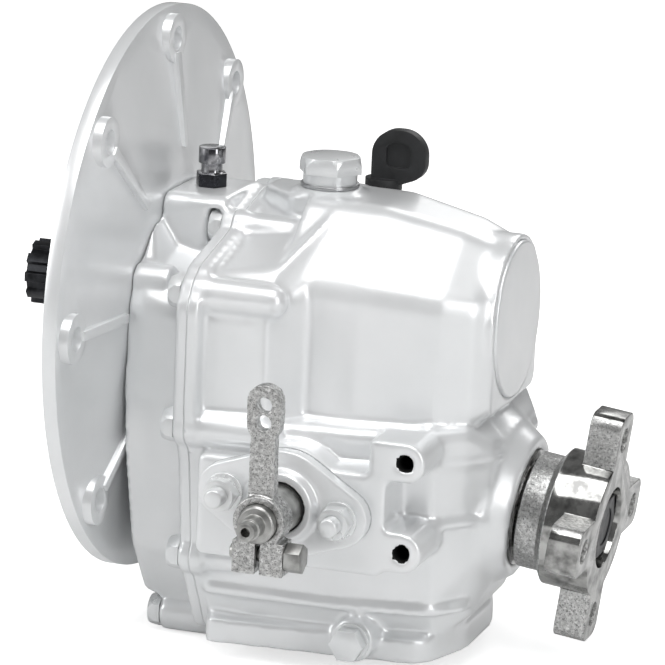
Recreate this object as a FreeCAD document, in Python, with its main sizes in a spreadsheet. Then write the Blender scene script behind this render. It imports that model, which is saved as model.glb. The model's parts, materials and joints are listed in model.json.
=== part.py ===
import FreeCAD, Part
import math
import os
from types import SimpleNamespace
import Sketcher

# Marine gearbox with a down angle: millimetres, +X aft, -Y the lever side, +Z up.
# The origin is the centre of the engine-side face of the adapter flange.

doc = FreeCAD.newDocument("MarineGearbox")
sheet = doc.addObject("Spreadsheet::Sheet", "d")

dimensions = [
    # layout of the axes and of the joint between the two castings
    ("down_angle", 7.0), ("clutch_x", 93.5), ("shaft_drop", 68.0), ("seam_x", 46.5), ("gasket_wall", 0.5),
    # adapter flange
    ("adapter_r", 121.5), ("rim_wall", 6.0), ("rim_step_r", 114.0), ("web_r", 62.0), ("hub_x", 14.0),
    ("pilot_r", 40.0), ("adapter_hole_ring", 108.0), ("adapter_hole_r", 5.25), ("adapter_boss_r", 10.5),
    ("adapter_boss_x", 10.0), ("adapter_rib_wall", 4.0), ("adapter_bolt_ring", 52.0), ("fit_gap", 0.05),
    # castings
    ("flange_wall", 5.0), ("wall", 6.0), ("flange_half", 79.0), ("flange_top", 47.0), ("case_bottom", 138.0),
    ("housing_bolt_r", 4.0), ("bolt_boss_r", 8.2), ("upper_top", 50.0), ("upper_half", 53.0),
    ("step_x", 78.0), ("step_run", 13.0), ("rear_x", 166.4), ("cap_r", 33.3), ("cap_z", 3.3), ("cap_wall", 4.0),
    # input shaft and its bearings
    ("spline_tip_x", 51.8), ("spline_length", 38.0), ("spline_r", 14.2), ("spline_root_r", 12.2),
    ("input_journal_r", 15.0), ("input_rear_r", 12.5), ("bearing_wall", 15.0),
    ("front_bearing_x", 18.0), ("front_bearing_r", 27.5), ("front_bearing_wall", 13.0),
    ("rear_bearing_x", 141.0), ("rear_bearing_r", 24.0), ("input_seal_r", 25.0), ("input_seal_x", 4.0),
    ("input_seal_wall", 8.0), ("input_core_r", 16.0), ("ring_wall", 4.0),
    # gears
    ("forward_pinion_teeth", 17.0), ("forward_gear_teeth", 34.0), ("reverse_pinion_teeth", 18.0),
    ("idler_teeth", 13.0), ("reverse_gear_teeth", 46.0), ("reverse_module", 2.0), ("backlash", 0.5),
    ("gear_face", 16.0), ("reverse_face", 11.0), ("gear_near", 28.0), ("pinion_extra", 2.0),
    ("idler_pin_r", 5.0), ("bush_wall", 3.0),
    # output shaft, in stations along its own axis from the clutch centre
    ("gear_journal_r", 15.0), ("clutch_spline_r", 17.5),
    ("clutch_spline_half", 24.0), ("output_front_station", 72.0), ("output_front_r", 12.5),
    ("output_front_bearing_r", 26.0), ("output_front_wall", 14.0), ("output_rear_station", 56.0),
    ("output_rear_bearing_r", 31.0), ("output_rear_wall", 16.0), ("output_seal_station", 73.5),
    ("output_seal_r", 25.0), ("output_seal_wall", 8.0), ("hub_neck_r", 18.0), ("tail_r", 13.0),
    # clutch sleeve
    ("sleeve_groove_half", 5.0), ("sleeve_groove_r", 28.0), ("sleeve_rim_r", 33.0), ("sleeve_rim_half", 8.0),
    ("sleeve_half", 20.0), ("cone_big_r", 29.0), ("cone_angle", 8.0), ("shift_travel", 2.0),
    ("cup_r", 37.0),
    # coupling
    ("coupling_face_station", 117.5), ("coupling_hub_station", 83.5), ("coupling_hub_r", 25.0),
    ("coupling_band_r", 29.5), ("coupling_ear_r", 50.0), ("coupling_ear_wall", 13.6),
    ("coupling_ear_width", 21.0), ("coupling_ring", 39.0), ("coupling_hole_r", 5.25), ("coupling_recess_r", 17.5),
    # shift side
    ("pad_y", 80.0), ("pad_left_x", 53.5), ("pad_right_x", 135.5), ("pad_top_z", 49.5), ("pad_bottom_z", 92.5),
    ("cable_hole_x", 143.4), ("cable_hole_top_z", 43.2), ("cable_hole_pitch", 38.1), ("cable_hole_r", 3.4),
    ("cable_boss_r", 8.5), ("cable_hole_depth", 18.0), ("shift_bore_r", 18.5), ("cover_wall", 6.5),
    ("cover_stud_half", 25.0), ("cover_end_r", 12.0), ("cover_middle_r", 23.0), ("shift_shaft_r", 8.0),
    ("lever_front_y", 116.0), ("lever_hub_wall", 12.0), ("lever_hub_r", 11.0), ("lever_plate_wall", 6.0),
    ("lever_reach", 57.0), ("lever_hole_far", 48.6), ("lever_hole_pitch", 7.4), ("lever_hole_r", 3.2),
    ("eccentric", 4.0), ("pin_r", 3.0), ("shift_shaft_z", 65.0), ("shift_shaft_inner_y", 38.0),
    # fittings
    ("breather_x", 27.3), ("breather_top", 46.0), ("filler_x", 80.5), ("filler_seat_z", 51.5),
    ("filler_thread_r", 9.0), ("dipstick_x", 95.5), ("dipstick_y", 28.0), ("dipstick_seat_z", 46.5),
    ("dipstick_rod_r", 2.0), ("dipstick_tip_z", 46.0), ("drain_x", 117.5), ("drain_z", 128.0),
    ("drain_thread_r", 5.0), ("drain_seat_y", 60.0),
]
for row, (name, value) in enumerate(dimensions, start=1):
    sheet.set("A%d" % row, name)
    sheet.set("B%d" % row, str(value))
    sheet.setAlias("B%d" % row, name)
doc.recompute()
g = SimpleNamespace(**{name: float(sheet.get(name)) for name, value in dimensions})

V = FreeCAD.Vector
aft = V(1, 0, 0)
near = V(0, -1, 0)
up = V(0, 0, 1)
tilt = FreeCAD.Rotation(V(0, 1, 0), g.down_angle)
output_axis = tilt.multVec(aft)
clutch_centre = V(g.clutch_x, 0, -g.shaft_drop)
output_frame = FreeCAD.Placement(clutch_centre, tilt)
parts = []


def on_output(station):
    return clutch_centre + output_axis * station


def origin_plane(body, role):
    return [item for item in body.Origin.OriginFeatures if item.Role == role][0]


def new_body(label, placement=None):
    body = doc.addObject("PartDesign::Body", label)
    body.Label = label
    if placement:
        body.Placement = placement
    parts.append(body)
    return body


def sketch_on(body, name, role="YZ_Plane", offset=None):
    sketch = body.newObject("Sketcher::SketchObject", name)
    sketch.AttachmentSupport = [(origin_plane(body, role), "")]
    sketch.MapMode = "FlatFace"
    if offset:
        sketch.AttachmentOffset = offset
    return sketch


def turned(label, stations, placement=None, body=None):
    # solid of revolution about X: each station is (distance, radius) in words of the sheet
    body = body or new_body(label, placement)
    sketch = sketch_on(body, label + "_profile", "XZ_Plane")
    count = len(stations)
    start = [V(40 + 20 * math.cos(2 * math.pi * i / count), 40 + 20 * math.sin(2 * math.pi * i / count), 0)
             for i in range(count)]
    sketch.addGeometry([Part.LineSegment(start[i], start[(i + 1) % count]) for i in range(count)])
    rules = [Sketcher.Constraint("Coincident", i, 2, (i + 1) % count, 1) for i in range(count)]
    bound = []
    for i, station in enumerate(stations):
        for kind, axis, words in (("DistanceX", -2, station[0]), ("DistanceY", -1, station[1])):
            if words == 0:
                rules.append(Sketcher.Constraint("PointOnObject", i, 1, axis))
            else:
                bound.append((len(rules), words))
                rules.append(Sketcher.Constraint(kind, -1, 1, i, 1, 1.0))
    sketch.addConstraint(rules)
    for index, words in bound:
        sketch.setExpression("Constraints[%d]" % index, words)
    revolve = body.newObject("PartDesign::Revolution", label + "_turn")
    revolve.Profile = sketch
    revolve.ReferenceAxis = (sketch, ["H_Axis"])
    revolve.Angle = 360
    return body


def outline_edges(corners):
    # closed outline of straight edges; a corner is (across, up, fillet radius)
    count = len(corners)
    points = [V(c[0], c[1], 0) for c in corners]
    joins = []
    for i in range(count):
        before = (points[i - 1] - points[i]).normalize()
        after = (points[(i + 1) % count] - points[i]).normalize()
        radius = corners[i][2] if len(corners[i]) > 2 else 0
        if radius:
            half = before.getAngle(after) / 2
            reach = radius / math.tan(half)
            middle = (before + after).normalize()
            bulge = radius / math.sin(half) - radius
            joins.append((points[i] + before * reach, points[i] + middle * bulge, points[i] + after * reach))
        else:
            joins.append((points[i],))
    edges = []
    for i in range(count):
        if len(joins[i]) == 3:
            edges.append(Part.Arc(*joins[i]))
        edges.append(Part.LineSegment(joins[i][-1], joins[(i + 1) % count][0]))
    return edges


def outline_sketch(body, name, corners, role="YZ_Plane", start=0.0, words=None):
    if isinstance(body, Casting):
        return body.face(corners, role, start)
    sketch = sketch_on(body, name, role, FreeCAD.Placement(V(0, 0, start), FreeCAD.Rotation()))
    sketch.addGeometry(outline_edges(corners))
    if words:
        sketch.setExpression("AttachmentOffset.Base.z", words)
    return sketch


class Casting:
    # a casting gathers its solids and is joined and cut in a few steps
    roles = {"YZ_Plane": FreeCAD.Rotation(0.5, 0.5, 0.5, 0.5), "XY_Plane": FreeCAD.Rotation(),
             "XZ_Plane": FreeCAD.Rotation(V(1, 0, 0), 90)}

    def __init__(self, label):
        self.label = label
        self.steps = []

    def face(self, corners, role, start):
        wire = Part.Wire(Part.__sortEdges__([edge.toShape() for edge in outline_edges(corners)]))
        turn = self.roles[role]
        face = Part.Face(wire)
        face.Placement = FreeCAD.Placement(turn.multVec(V(0, 0, start)), turn)
        return face

    def add(self, solid, cut):
        if self.steps and self.steps[-1][0] == cut:
            self.steps[-1][1].append(solid)
        else:
            self.steps.append((cut, [solid]))

    def finish(self):
        solids = self.steps[0][1]
        shape = solids[0].multiFuse(solids[1:])
        for cut, solids in self.steps[1:]:
            shape = shape.cut(solids) if cut else shape.multiFuse(solids)
        shape = shape.removeSplitter()
        feature = doc.addObject("Part::Feature", self.label)
        feature.Label = self.label
        feature.Shape = max(shape.Solids, key=lambda solid: solid.Volume)
        parts.append(feature)
        return feature


def length_of(words):
    # a length is a number, or words of the sheet joined by plus signs
    if not isinstance(words, str):
        return words
    return sum(g.__dict__[word[2:]] if word.startswith("d.") else float(word) for word in words.split(" + "))


def pad(body, name, sketch, length, cut=False):
    if isinstance(body, Casting):
        normal = sketch.Placement.Rotation.multVec(up)
        body.add(sketch.extrude(normal * length_of(length)), cut)
        return None
    kind = "PartDesign::Pocket" if cut else "PartDesign::Pad"
    feature = body.newObject(kind, name)
    feature.Profile = sketch
    feature.Reversed = cut
    if isinstance(length, str):
        feature.setExpression("Length", length)
    else:
        feature.Length = length
    return feature


def loft(body, name, sections, role="YZ_Plane", cut=False):
    sketches = [outline_sketch(body, "%s_%d" % (name, i), corners, role, start)
                for i, (start, corners) in enumerate(sections)]
    if isinstance(body, Casting):
        body.add(Part.makeLoft([face.OuterWire for face in sketches], True, True), cut)
        return None
    feature = body.newObject("PartDesign::SubtractiveLoft" if cut else "PartDesign::AdditiveLoft", name)
    feature.Profile = sketches[0]
    feature.Sections = sketches[1:]
    feature.Ruled = True
    return feature


def cylinder(body, name, radius, height, base, direction=aft, cut=False):
    if isinstance(body, Casting):
        body.add(Part.makeCylinder(length_of(radius), length_of(height), base, direction), cut)
        return None
    feature = body.newObject("PartDesign::SubtractiveCylinder" if cut else "PartDesign::AdditiveCylinder", name)
    for field, words in (("Radius", radius), ("Height", height)):
        if isinstance(words, str):
            feature.setExpression(field, words)
        else:
            setattr(feature, field, words)
    feature.Placement = FreeCAD.Placement(base, FreeCAD.Rotation(up, direction))
    return feature


def cone(body, base_r, end_r, height, base, direction=aft, cut=False):
    body.add(Part.makeCone(base_r, end_r, height, base, direction), cut)


def block(body, name, corner, size, cut=False, rotation=None):
    if isinstance(body, Casting):
        body.add(Part.makeBox(*size, corner), cut)
        return None
    feature = body.newObject("PartDesign::SubtractiveBox" if cut else "PartDesign::AdditiveBox", name)
    feature.Length, feature.Width, feature.Height = size
    feature.Placement = FreeCAD.Placement(corner, rotation or FreeCAD.Rotation())
    return feature


def group(label, solids):
    feature = doc.addObject("Part::Feature", label)
    feature.Label = label
    feature.Shape = Part.Compound(solids)
    parts.append(feature)
    return feature


def mirrored(corners):
    # completes an outline whose near half is listed from the top down
    far = [(-c[0],) + tuple(c[1:]) for c in reversed(corners)]
    return list(corners) + far


def polar_point(radius, angle):
    return (radius * math.cos(angle), radius * math.sin(angle))


def spline_outline(teeth, root_r, tip_r, grow=0.0):
    # straight-sided spline; grow widens it for the mating bore
    pitch = 2 * math.pi / teeth
    corners = []
    for i in range(teeth):
        for radius, share in ((root_r, -0.3), (tip_r, -0.22), (tip_r, 0.22), (root_r, 0.3)):
            spread = math.copysign(grow / radius, share)
            corners.append(polar_point(radius + grow, i * pitch + share * pitch + spread))
    return corners


def involute(angle):
    return math.tan(angle) - angle


def gear_outline(teeth, module, phase, scale=1.0):
    # involute flanks at 20 degrees through root, pitch and tip; phase is the angle of one tooth
    pitch_r = teeth * module / 2
    base_r = pitch_r * math.cos(math.radians(20))
    half_at_pitch = math.pi / (2 * teeth) - g.backlash / (4 * pitch_r) + involute(math.radians(20))
    corners = []
    for i in range(teeth):
        middle = phase + 2 * math.pi * i / teeth
        flank = []
        for radius in (pitch_r - 1.15 * module, pitch_r, pitch_r + 0.9 * module):
            pressure = math.acos(min(1.0, base_r / radius))
            flank.append((radius * scale, half_at_pitch - involute(pressure)))
        for radius, half in flank:
            corners.append(polar_point(radius, middle - half))
        for radius, half in reversed(flank):
            corners.append(polar_point(radius, middle + half))
    return corners


def meshing_phase(teeth, mate_teeth, mate_phase, direction):
    # phase that puts a gap opposite the mate's tooth; direction points from the mate to this gear
    return direction + math.pi + ((direction - mate_phase) * mate_teeth - math.pi) / teeth


# gear geometry: the wheels are conical because the output axis is tilted against the input axis
slope = math.radians(g.down_angle)
forward_middle = -(g.gear_near + g.gear_face / 2)
reverse_middle = g.gear_near + g.reverse_face / 2
forward_module = ((g.shaft_drop + forward_middle * math.sin(slope))
                  / ((g.forward_pinion_teeth + g.forward_gear_teeth * math.cos(slope)) / 2))
forward_pinion_r = forward_module * g.forward_pinion_teeth / 2
reverse_pinion_r = g.reverse_module * g.reverse_pinion_teeth / 2
idler_r = g.reverse_module * g.idler_teeth / 2
reverse_gear_r = g.reverse_module * g.reverse_gear_teeth / 2
idler_ring = reverse_pinion_r + idler_r


def idler_offset(station, swing):
    # idler axis seen in the plane square to the output axis at a station
    across = idler_ring * math.sin(swing)
    above = station * math.tan(slope) + (g.shaft_drop - idler_ring * math.cos(swing)) / math.cos(slope)
    return across, above


low, high = 0.0, math.pi / 2
for step in range(40):
    middle = (low + high) / 2
    if math.hypot(*idler_offset(reverse_middle, middle)) < idler_r + reverse_gear_r:
        low = middle
    else:
        high = middle
idler_swing = (low + high) / 2
idler_y = idler_ring * math.sin(idler_swing)
idler_z = -idler_ring * math.cos(idler_swing)
reverse_x0 = g.clutch_x + g.gear_near * math.cos(slope) + g.pinion_extra
reverse_x1 = reverse_x0 + g.reverse_face + 2 * g.pinion_extra
pinion_phase = -math.pi / 2
idler_direction = math.atan2(idler_z, idler_y)
idler_phase = meshing_phase(int(g.idler_teeth), int(g.reverse_pinion_teeth), pinion_phase, idler_direction)
# the eccentric pin leans aft so that its centre stands over the middle of the sleeve groove
shaft_above = g.shaft_drop - g.shift_shaft_z
pin_lean = math.asin(shaft_above * math.sin(slope) / g.eccentric)


def make_input_shaft():
    spline_end = "-d.spline_tip_x + d.spline_length"
    shoulder = "d.front_bearing_x + d.front_bearing_wall"
    pinion_end = g.clutch_x - g.gear_near * math.cos(slope) + g.pinion_extra
    body = turned("input_shaft", [
        (spline_end, 0), (spline_end, "d.input_journal_r"), (shoulder, "d.input_journal_r"),
        (shoulder, "d.input_core_r + 1.5"), ("d.clutch_x - d.gear_near", "d.input_core_r + 1.5"),
        ("d.clutch_x - d.gear_near", "d.input_core_r - 0.6"), ("d.rear_bearing_x", "d.input_core_r - 0.6"),
        ("d.rear_bearing_x", "d.input_rear_r"), ("d.rear_bearing_x + d.bearing_wall + 1", "d.input_rear_r"),
        ("d.rear_bearing_x + d.bearing_wall + 1", 0)])
    spline = outline_sketch(body, "spline_outline", spline_outline(10, g.spline_root_r, g.spline_r),
                            start=-g.spline_tip_x, words="-d.spline_tip_x")
    pad(body, "spline", spline, "d.spline_length + 0.5")
    length = g.gear_face * math.cos(slope) + 2 * g.pinion_extra
    teeth = gear_outline(int(g.forward_pinion_teeth), forward_module, pinion_phase)
    sketch = outline_sketch(body, "forward_pinion_outline", teeth, start=pinion_end - length)
    pad(body, "forward_pinion", sketch, length)
    teeth = gear_outline(int(g.reverse_pinion_teeth), g.reverse_module, pinion_phase)
    sketch = outline_sketch(body, "reverse_pinion_outline", teeth, start=reverse_x0)
    pad(body, "reverse_pinion", sketch, reverse_x1 - reverse_x0)
    return body


def wheel(label, mirror, teeth, near_face, face, radius_at, phase_at, module):
    # clutch wheel: conical teeth, hub on its bush and a female cone for the sleeve
    side = "-" if mirror else ""
    sign = -1 if mirror else 1
    far_face = "d.gear_near + %s" % face
    mouth = "d.sleeve_rim_half + 3"
    floor = "d.clutch_spline_half + 0.5"
    bore = "d.gear_journal_r + d.bush_wall + 2 * d.fit_gap"
    run = "tan(d.cone_angle * 1 deg)"
    slack = "d.cone_big_r + d.shift_travel * %s + 2.4 * d.fit_gap" % run
    body = turned(label, [
        (side + "(%s + 2)" % far_face, bore), (side + "(%s + 2)" % far_face, "d.cup_r - 11"),
        (side + "(%s)" % far_face, "d.cup_r - 10"), (side + "(%s)" % far_face, "d.cup_r"),
        (side + "(%s)" % mouth, "d.cup_r"), (side + "(%s)" % mouth, "%s - 3 * %s" % (slack, run)),
        (side + "(%s)" % floor, "%s - (%s - d.sleeve_rim_half) * %s" % (slack, floor, run)),
        (side + "(%s)" % floor, bore)], output_frame)
    stations = sorted([sign * g.gear_near, sign * (g.gear_near + near_face)])
    sections = []
    for station in stations:
        scale = radius_at(station) / (module * teeth / 2)
        sections.append((station, gear_outline(teeth, module, phase_at(station), scale)))
    loft(body, label + "_teeth", sections)
    cylinder(body, label + "_bore", bore, g.gear_near, V(stations[0] - 5, 0, 0) if mirror else V(
        g.clutch_spline_half, 0, 0), cut=True)
    return body


def make_forward_gear():
    teeth = int(g.forward_gear_teeth)

    def radius_at(station):
        return (g.shaft_drop + station * math.sin(slope) - forward_pinion_r) / math.cos(slope)

    def phase_at(station):
        return meshing_phase(teeth, int(g.forward_pinion_teeth), pinion_phase, -math.pi / 2)

    return wheel("forward_gear", True, teeth, g.gear_face, "d.gear_face", radius_at, phase_at, forward_module)


def make_reverse_gear():
    teeth = int(g.reverse_gear_teeth)

    def radius_at(station):
        return math.hypot(*idler_offset(station, idler_swing)) - idler_r

    def phase_at(station):
        across, above = idler_offset(station, idler_swing)
        return meshing_phase(teeth, int(g.idler_teeth), idler_phase, math.atan2(-above, -across))

    return wheel("reverse_gear", False, teeth, g.reverse_face, "d.reverse_face", radius_at, phase_at,
                 g.reverse_module)


def make_bushes():
    for label, near_end, far_end in (("forward_gear_bush", "-(d.clutch_spline_half + 0.6)",
                                      "-(d.gear_near + d.gear_face + 1.8)"),
                                     ("reverse_gear_bush", "d.clutch_spline_half + 0.6",
                                      "d.gear_near + d.reverse_face + 1.8")):
        turned(label, [(near_end, "d.gear_journal_r + d.fit_gap"), (far_end, "d.gear_journal_r + d.fit_gap"),
                       (far_end, "d.gear_journal_r + d.bush_wall + d.fit_gap"),
                       (near_end, "d.gear_journal_r + d.bush_wall + d.fit_gap")], output_frame)
    spacers = (("forward_spacer", "-(d.gear_near + d.gear_face + 2.3)",
                "-(d.output_front_station - d.output_front_wall) + 0.05"),
               ("reverse_spacer", "d.gear_near + d.reverse_face + 2.3", "d.output_rear_station - 0.05"))
    for label, near_end, far_end in spacers:
        turned(label, [(near_end, "d.gear_journal_r + d.fit_gap"), (far_end, "d.gear_journal_r + d.fit_gap"),
                       (far_end, "d.gear_journal_r + 4.5"), (near_end, "d.gear_journal_r + 4.5")],
               output_frame)


def make_idler():
    body = new_body("idler_gear")
    teeth = gear_outline(int(g.idler_teeth), g.reverse_module, idler_phase)
    sketch = outline_sketch(body, "idler_outline", teeth, start=reverse_x0)
    pad(body, "idler_teeth_pad", sketch, reverse_x1 - reverse_x0)
    cylinder(body, "idler_bore", "d.idler_pin_r + d.fit_gap", 60, V(reverse_x0 - 20, 0, 0), cut=True)
    body.Placement = FreeCAD.Placement(V(0, idler_y, idler_z), FreeCAD.Rotation())
    pin = new_body("idler_shaft", FreeCAD.Placement(V(0, idler_y, idler_z), FreeCAD.Rotation()))
    cylinder(pin, "idler_pin", "d.idler_pin_r", reverse_x1 + 20 - (reverse_x0 - 10), V(reverse_x0 - 10, 0, 0))
    cylinder(pin, "idler_collar", "d.idler_pin_r + 3", 3, V(reverse_x0 - 3.3, 0, 0))


def make_output_shaft():
    front = "-(d.output_front_station - 0.5)"
    body = turned("output_shaft", [
        (front, 0), (front, "d.output_front_r"),
        ("-(d.output_front_station - d.output_front_wall)", "d.output_front_r"),
        ("-(d.output_front_station - d.output_front_wall)", "d.gear_journal_r"),
        ("d.output_rear_station + d.output_rear_wall", "d.gear_journal_r"),
        ("d.output_rear_station + d.output_rear_wall", "d.tail_r"),
        ("d.coupling_face_station - 13", "d.tail_r"), ("d.coupling_face_station - 13", "8"),
        ("d.coupling_face_station - 2", "8"), ("d.coupling_face_station - 2", 0)], output_frame)
    outline = spline_outline(8, g.gear_journal_r - 0.2, g.clutch_spline_r)
    sketch = outline_sketch(body, "clutch_spline_outline", outline, start=-g.clutch_spline_half)
    pad(body, "clutch_spline", sketch, "2 * d.clutch_spline_half")
    return body


def make_clutch_sleeve():
    end_r = "d.cone_big_r - (d.sleeve_half - d.sleeve_rim_half) * tan(d.cone_angle * 1 deg)"
    bore = "d.clutch_spline_r - 1"
    stations = [("-d.sleeve_half", bore), ("-d.sleeve_half", end_r), ("-d.sleeve_rim_half", "d.cone_big_r"),
                ("-d.sleeve_rim_half", "d.sleeve_rim_r"), ("-d.sleeve_groove_half", "d.sleeve_rim_r"),
                ("-d.sleeve_groove_half", "d.sleeve_groove_r"), ("d.sleeve_groove_half", "d.sleeve_groove_r"),
                ("d.sleeve_groove_half", "d.sleeve_rim_r"), ("d.sleeve_rim_half", "d.sleeve_rim_r"),
                ("d.sleeve_rim_half", "d.cone_big_r"), ("d.sleeve_half", end_r), ("d.sleeve_half", bore)]
    body = turned("clutch_sleeve", stations, output_frame)
    outline = spline_outline(8, g.gear_journal_r - 0.2, g.clutch_spline_r, grow=0.25)
    sketch = outline_sketch(body, "sleeve_spline_outline", outline, start=-g.sleeve_half - 1)
    pad(body, "sleeve_spline", sketch, 2 * g.sleeve_half + 2, cut=True)
    return body


def ring(label, start, end, inner, outer, placement=None):
    return turned(label, [(start, inner), (end, inner), (end, outer), (start, outer)], placement)


def tube(inner, outer, start, length):
    return Part.makeCylinder(outer, length, V(start, 0, 0), aft).cut(
        Part.makeCylinder(inner, length, V(start, 0, 0), aft))


def make_bearing(label, start, width, outer_r, bore_r, placement=None):
    # roller bearing: outer ring in the casting; inner ring and rollers turn with the shaft
    begin = g.__dict__[start.replace("-", "").replace("d.", "")] * (-1 if start.startswith("-") else 1)
    wide, outer, bore = (g.__dict__[words.replace("d.", "")] for words in (width, outer_r, bore_r))
    ring(label + "_outer", start, "%s + %s" % (start, width), "%s - d.ring_wall" % outer_r, outer_r, placement)
    inner = bore + g.ring_wall - 0.5
    roller_r = (outer - g.ring_wall - inner) / 2 - g.fit_gap
    middle = (outer - g.ring_wall + inner) / 2
    count = int(math.pi * middle / (roller_r * 1.25))
    solids = [tube(bore + g.fit_gap / 2, inner, begin, wide)]
    for i in range(count):
        across, above = polar_point(middle, 2 * math.pi * i / count)
        solids.append(Part.makeCylinder(roller_r, wide - 3, V(begin + 1.5, across, above), aft))
    bearing = group(label + "_inner", solids)
    if placement:
        bearing.Placement = placement


def make_bearings():
    make_bearing("input_front_bearing", "d.front_bearing_x", "d.front_bearing_wall", "d.front_bearing_r",
                 "d.input_journal_r")
    make_bearing("input_rear_bearing", "d.rear_bearing_x", "d.bearing_wall", "d.rear_bearing_r",
                 "d.input_rear_r")
    make_bearing("output_front_bearing", "-d.output_front_station", "d.output_front_wall",
                 "d.output_front_bearing_r", "d.output_front_r", output_frame)
    make_bearing("output_rear_bearing", "d.output_rear_station", "d.output_rear_wall",
                 "d.output_rear_bearing_r", "d.gear_journal_r", output_frame)


def make_seals():
    # each oil seal is a ring with a lip that bears on its journal
    for label, start, wide, outer, journal, placement in (
            ("input_oil_seal", "d.input_seal_x", "d.input_seal_wall", "d.input_seal_r", "d.input_journal_r", None),
            ("output_oil_seal", "d.output_seal_station", "d.output_seal_wall", "d.output_seal_r",
             "d.hub_neck_r", output_frame)):
        end = "%s + %s" % (start, wide)
        turned(label, [(start, "%s + 2.5" % journal), (start, outer), (end, outer), (end, "%s + 3.5" % journal),
                       ("%s - 2" % end, "%s + 3.5" % journal), ("%s - 3.5" % end, "%s + d.fit_gap" % journal),
                       ("%s - 5" % end, "%s + d.fit_gap" % journal), ("%s - 5.5" % end, "%s + 2.5" % journal)],
               placement)


def make_coupling():
    face = "d.coupling_face_station"
    ear = "(d.coupling_face_station - d.coupling_ear_wall)"
    seat = "d.output_rear_station + d.output_rear_wall + 0.3"
    body = turned("output_coupling", [
        (seat, "d.tail_r + d.fit_gap"), (seat, "d.hub_neck_r"), ("d.coupling_hub_station", "d.hub_neck_r"),
        ("d.coupling_hub_station", "d.coupling_hub_r"), ("%s - 11" % ear, "d.coupling_hub_r"),
        ("%s - 8" % ear, "d.coupling_band_r"), (face, "d.coupling_band_r"), (face, "d.coupling_recess_r"),
        ("%s - 10" % face, "d.coupling_recess_r"), ("%s - 10" % face, "d.tail_r + d.fit_gap")], output_frame)
    # four ears, square-ended with rounded corners
    inner = g.coupling_band_r - 4
    half = g.coupling_ear_width / 2
    start = g.coupling_face_station - g.coupling_ear_wall
    for i in range(4):
        turn = FreeCAD.Rotation(aft, 90 * i)
        corners = [(-half, inner, 0), (half, inner, 0), (half, g.coupling_ear_r, 6), (-half, g.coupling_ear_r, 6)]
        turned_corners = []
        for across, above, radius in corners:
            point = turn.multVec(V(0, across, above))
            turned_corners.append((point.y, point.z, radius))
        sketch = outline_sketch(body, "ear_%d" % i, turned_corners, start=start)
        pad(body, "ear_pad_%d" % i, sketch, "d.coupling_ear_wall")
        hole = turn.multVec(V(0, 0, g.coupling_ring))
        cylinder(body, "ear_hole_%d" % i, "d.coupling_hole_r", g.coupling_ear_wall + 4, V(start - 2, hole.y, hole.z),
                 cut=True)
    washer = ring("coupling_washer", "d.coupling_face_station - 10", "d.coupling_face_station - 8.5",
                  "8 + d.fit_gap", "d.tail_r + 2", output_frame)
    nut = new_body("coupling_nut", output_frame)
    hexagon = [polar_point(12.5 / math.cos(math.pi / 6), math.pi / 3 * i) for i in range(6)]
    sketch = outline_sketch(nut, "nut_outline", hexagon, start=g.coupling_face_station - 8.5)
    pad(nut, "nut_pad", sketch, 7)
    cylinder(nut, "nut_bore", "8 + d.fit_gap", 20, V(g.coupling_face_station - 15, 0, 0), cut=True)
    return body, washer, nut


def nose_outline():
    # where the front housing meets the adapter
    return [(14, 44, 14), (-34, 34, 14), (-60, 10, 20), (-63, -30, 20), (-60, -60, 20), (-50, -100, 20),
            (-30, -129, 14), (30, -129, 14), (50, -100, 20), (60, -60, 20), (63, -30, 20), (60, 10, 20),
            (44, 36, 14)]


def make_adapter():
    # disc that thins towards its rim, with knife-edged ribs out to the screw bosses
    body = Casting("adapter_flange")
    bore = g.pilot_r + g.fit_gap
    profile = [V(0, 0, bore), V(g.hub_x, 0, bore), V(g.hub_x, 0, g.web_r), V(g.rim_wall, 0, g.rim_step_r),
               V(g.rim_wall, 0, g.adapter_r), V(0, 0, g.adapter_r), V(0, 0, bore)]
    body.add(Part.Face(Part.makePolygon(profile)).revolve(V(), aft, 360), False)
    rib = [(g.rim_wall, g.web_r), (g.hub_x + 2, g.web_r), (g.rim_wall + 5, g.adapter_hole_ring - 6),
           (g.rim_wall - 2, g.adapter_hole_ring - 6)]
    for i in range(8):
        across, above = polar_point(g.adapter_hole_ring, math.pi / 4 * i)
        cylinder(body, "boss", "d.adapter_boss_r", g.adapter_boss_x - 1, V(1, across, above))
        solid = body.face(rib, "XZ_Plane", -g.adapter_rib_wall / 2).extrude(near * g.adapter_rib_wall)
        body.add(solid.rotated(V(), aft, 45 * i), False)
    seat = outline_sketch(body, "housing_seat", shrunk(nose_outline(), -3), start=g.hub_x)
    pad(body, "housing_seat_cut", seat, 10, cut=True)
    for i in range(8):
        across, above = polar_point(g.adapter_hole_ring, math.pi / 4 * i)
        cylinder(body, "hole", "d.adapter_hole_r", 40, V(-10, across, above), cut=True)
    for across, above in screw_places():
        cylinder(body, "screw", "d.housing_bolt_r + 0.5", 40, V(-10, across, above), cut=True)
        cylinder(body, "screw_recess", "d.housing_bolt_r + 3.5", 9, V(-1, across, above), cut=True)
    return body.finish()


def screw_places():
    # screws that hold the adapter to the front housing, clear of the breather box
    return [polar_point(g.adapter_bolt_ring, math.radians(angle)) for angle in (15, 165, 205, 235, 305, 335)]


def hexagon_prism(across_flats, height, base, direction):
    radius = across_flats / 2 / math.cos(math.pi / 6)
    corners = [V(*polar_point(radius, math.pi / 3 * i), 0) for i in range(7)]
    prism = Part.Face(Part.makePolygon(corners)).extrude(V(0, 0, height))
    prism.Placement = FreeCAD.Placement(base, FreeCAD.Rotation(up, direction))
    return prism


def make_adapter_bolts():
    solids = []
    for across, above in screw_places():
        head = Part.makeCylinder(6.5, 7, V(1, across, above), aft)
        head = head.cut(hexagon_prism(6, 4, V(1, across, above), aft))
        solids.append(head.fuse(Part.makeCylinder(g.housing_bolt_r, 16, V(8, across, above), aft)))
    group("adapter_bolts", solids)


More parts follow.
